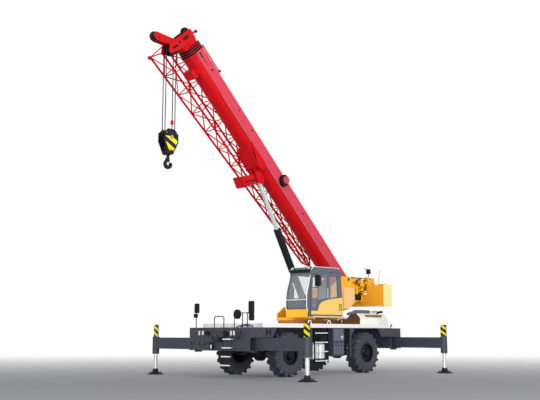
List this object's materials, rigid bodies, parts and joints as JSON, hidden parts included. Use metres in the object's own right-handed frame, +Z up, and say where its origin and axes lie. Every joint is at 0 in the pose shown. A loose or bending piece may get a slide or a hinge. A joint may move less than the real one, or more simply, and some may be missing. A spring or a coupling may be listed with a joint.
{
  "type": "mobile crane",
  "caption": "Two-axle rough terrain crane on extended outriggers, with a raised telescoping boom, side-stowed lattice extension, hook block and side cab.",
  "frame": {"origin": "on the ground, on the slewing axis, midway between the two axles", "axes": "+X forward, towards the boom's head; +Y to the left, the cab's side; +Z up"},
  "size_m": [11.5564, 7.688, 11.6554],
  "materials": {
    "steel_dark": "dark grey paint, satin",
    "band_white": "off-white paint, satin",
    "black": "black paint, satin",
    "bare_metal": "bare, brushed",
    "crane_yellow": "warm yellow paint, gloss",
    "boom_red": "red paint, gloss",
    "chrome": "hard chrome, polished",
    "glass": "tinted safety glass",
    "cab_grey": "dark grey paint, satin",
    "rope": "greased wire rope",
    "tyre": "matt rubber"
  },
  "bodies": {
    "carrier": {"chassis_frame": "steel_dark", "front_outrigger_box": "steel_dark", "rear_outrigger_box": "steel_dark", "deck": "band_white", "arch_panels": "steel_dark", "engine_hood": "band_white", "engine_block": "black", "side_tanks": "bare_metal", "side_cabinets": "steel_dark", "access_steps": "bare_metal", "deck_rails": "black", "front_lamps": "black", "slew_ring": "black", "front_axle": "black", "rear_axle": "black"},
    "knuckle_front_left": {"knuckle_front_left": "black"},
    "wheel_front_left": {"rim_front_left": "black", "tyre_front_left": "tyre"},
    "knuckle_front_right": {"knuckle_front_right": "black"},
    "wheel_front_right": {"rim_front_right": "black", "tyre_front_right": "tyre"},
    "knuckle_rear_left": {"knuckle_rear_left": "black"},
    "wheel_rear_left": {"rim_rear_left": "black", "tyre_rear_left": "tyre"},
    "knuckle_rear_right": {"knuckle_rear_right": "black"},
    "wheel_rear_right": {"rim_rear_right": "black", "tyre_rear_right": "tyre"},
    "beam_front_left": {"outrigger_beam_front_left": "steel_dark"},
    "jack_front_left": {"jack_front_left": "chrome"},
    "beam_front_right": {"outrigger_beam_front_right": "steel_dark"},
    "jack_front_right": {"jack_front_right": "chrome"},
    "beam_rear_left": {"outrigger_beam_rear_left": "steel_dark"},
    "jack_rear_left": {"jack_rear_left": "chrome"},
    "beam_rear_right": {"outrigger_beam_rear_right": "steel_dark"},
    "jack_rear_right": {"jack_rear_right": "chrome"},
    "turntable": {"turntable_frame": "crane_yellow", "counterweight": "crane_yellow", "cab_shell": "cab_grey", "cab_skirt": "crane_yellow", "cab_glass": "glass", "cab_interior": "black"},
    "cab_door": {"cab_door": "cab_grey", "door_panel": "crane_yellow", "door_glass": "glass"},
    "main_drum": {"main_drum": "steel_dark"},
    "auxiliary_drum": {"auxiliary_drum": "steel_dark"},
    "boom": {"boom_base": "boom_red", "cable_reel": "black", "lattice_jib": "boom_red"},
    "lift_rod": {"lift_rod": "chrome"},
    "lift_barrel": {"lift_barrel": "black"},
    "section_2": {"boom_section_2": "boom_red"},
    "section_3": {"boom_section_3": "boom_red"},
    "section_4": {"boom_section_4": "boom_red", "boom_head": "boom_red", "head_sheaves": "black"},
    "hook_block": {"hoist_ropes": "rope", "hook_block": "black"},
    "hook": {"hook": "black"}
  },
  "joints": [
    {"name": "steer_front_left", "type": "hinge", "parent": "carrier", "child": "knuckle_front_left", "pos_m": [2.1, 0.935, 0.7465], "axis": [0, 0, 1], "range_deg": [-25, 25]},
    {"name": "wheel_spin_front_left", "type": "hinge", "parent": "knuckle_front_left", "child": "wheel_front_left", "pos_m": [2.1, 1.228, 0.7465], "axis": [0, 1, 0], "continuous": true},
    {"name": "steer_front_right", "type": "hinge", "parent": "carrier", "child": "knuckle_front_right", "pos_m": [2.1, -0.935, 0.7465], "axis": [0, 0, 1], "range_deg": [-25, 25]},
    {"name": "wheel_spin_front_right", "type": "hinge", "parent": "knuckle_front_right", "child": "wheel_front_right", "pos_m": [2.1, -1.228, 0.7465], "axis": [0, 1, 0], "continuous": true},
    {"name": "steer_rear_left", "type": "hinge", "parent": "carrier", "child": "knuckle_rear_left", "pos_m": [-2.1, 0.935, 0.7465], "axis": [0, 0, 1], "range_deg": [-25, 25]},
    {"name": "wheel_spin_rear_left", "type": "hinge", "parent": "knuckle_rear_left", "child": "wheel_rear_left", "pos_m": [-2.1, 1.228, 0.7465], "axis": [0, 1, 0], "continuous": true},
    {"name": "steer_rear_right", "type": "hinge", "parent": "carrier", "child": "knuckle_rear_right", "pos_m": [-2.1, -0.935, 0.7465], "axis": [0, 0, 1], "range_deg": [-25, 25]},
    {"name": "wheel_spin_rear_right", "type": "hinge", "parent": "knuckle_rear_right", "child": "wheel_rear_right", "pos_m": [-2.1, -1.228, 0.7465], "axis": [0, 1, 0], "continuous": true},
    {"name": "outrigger_front_left", "type": "slide", "parent": "carrier", "child": "beam_front_left", "axis": [0, -1, 0], "range_m": [0, 1.9]},
    {"name": "jack_lift_front_left", "type": "slide", "parent": "beam_front_left", "child": "jack_front_left", "axis": [0, 0, 1], "range_m": [0, 0.5]},
    {"name": "outrigger_front_right", "type": "slide", "parent": "carrier", "child": "beam_front_right", "axis": [0, 1, 0], "range_m": [0, 1.9]},
    {"name": "jack_lift_front_right", "type": "slide", "parent": "beam_front_right", "child": "jack_front_right", "axis": [0, 0, 1], "range_m": [0, 0.5]},
    {"name": "outrigger_rear_left", "type": "slide", "parent": "carrier", "child": "beam_rear_left", "axis": [0, -1, 0], "range_m": [0, 1.9]},
    {"name": "jack_lift_rear_left", "type": "slide", "parent": "beam_rear_left", "child": "jack_rear_left", "axis": [0, 0, 1], "range_m": [0, 0.5]},
    {"name": "outrigger_rear_right", "type": "slide", "parent": "carrier", "child": "beam_rear_right", "axis": [0, 1, 0], "range_m": [0, 1.9]},
    {"name": "jack_lift_rear_right", "type": "slide", "parent": "beam_rear_right", "child": "jack_rear_right", "axis": [0, 0, 1], "range_m": [0, 0.5]},
    {"name": "slew", "type": "hinge", "parent": "carrier", "child": "turntable", "pos_m": [0, 0, 1.925], "axis": [0, 0, 1], "continuous": true},
    {"name": "door_slide", "type": "slide", "parent": "turntable", "child": "cab_door", "axis": [-1, 0, 0], "range_m": [0, 0.72]},
    {"name": "main_drum_spin", "type": "hinge", "parent": "turntable", "child": "main_drum", "pos_m": [-2.99, 0, 3.33], "axis": [0, 1, 0], "continuous": true},
    {"name": "auxiliary_drum_spin", "type": "hinge", "parent": "turntable", "child": "auxiliary_drum", "pos_m": [-3.43, 0, 3.39], "axis": [0, 1, 0], "continuous": true},
    {"name": "luff", "type": "hinge", "parent": "turntable", "child": "boom", "pos_m": [-2.34, 0, 3.53], "axis": [0, -1, 0], "range_deg": [-44.35, 34]},
    {"name": "lift_rod_pivot", "type": "hinge", "parent": "boom", "child": "lift_rod", "pos_m": [2.19573, 0, 6.90116], "axis": [0, -1, 0], "range_deg": [-3.93, 3.02]},
    {"name": "lift_stroke", "type": "slide", "parent": "lift_rod", "child": "lift_barrel", "axis": [-0.4896, 0, -0.872], "range_m": [-1.6662, 1.2778]},
    {"name": "extend_2", "type": "slide", "parent": "boom", "child": "section_2", "axis": [0.7151, 0, 0.699], "range_m": [0, 7.3]},
    {"name": "extend_3", "type": "slide", "parent": "section_2", "child": "section_3", "axis": [0.7151, 0, 0.699], "range_m": [0, 7.3]},
    {"name": "extend_4", "type": "slide", "parent": "section_3", "child": "section_4", "axis": [0.7151, 0, 0.699], "range_m": [0, 7.3]},
    {"name": "hook_hang", "type": "hinge", "parent": "section_4", "child": "hook_block", "pos_m": [6.3607, 0, 10.75173], "axis": [0, -1, 0], "range_deg": [-34.2, 44.5]},
    {"name": "hook_swivel", "type": "hinge", "parent": "hook_block", "child": "hook", "pos_m": [6.3607, 0, 7.15173], "axis": [0, 0, 1], "continuous": true}
  ],
  "couplings": [
    {"joint": "steer_front_right", "follows": "steer_front_left", "ratio": 1},
    {"joint": "steer_rear_right", "follows": "steer_rear_left", "ratio": 1},
    {"joint": "lift_rod_pivot", "follows": "luff", "ratio": 0.0875},
    {"joint": "lift_stroke", "follows": "luff", "m_per_rad": 2.15},
    {"joint": "extend_3", "follows": "extend_2", "ratio": 1},
    {"joint": "extend_4", "follows": "extend_2", "ratio": 1},
    {"joint": "hook_hang", "follows": "luff", "ratio": -1}
  ]
}
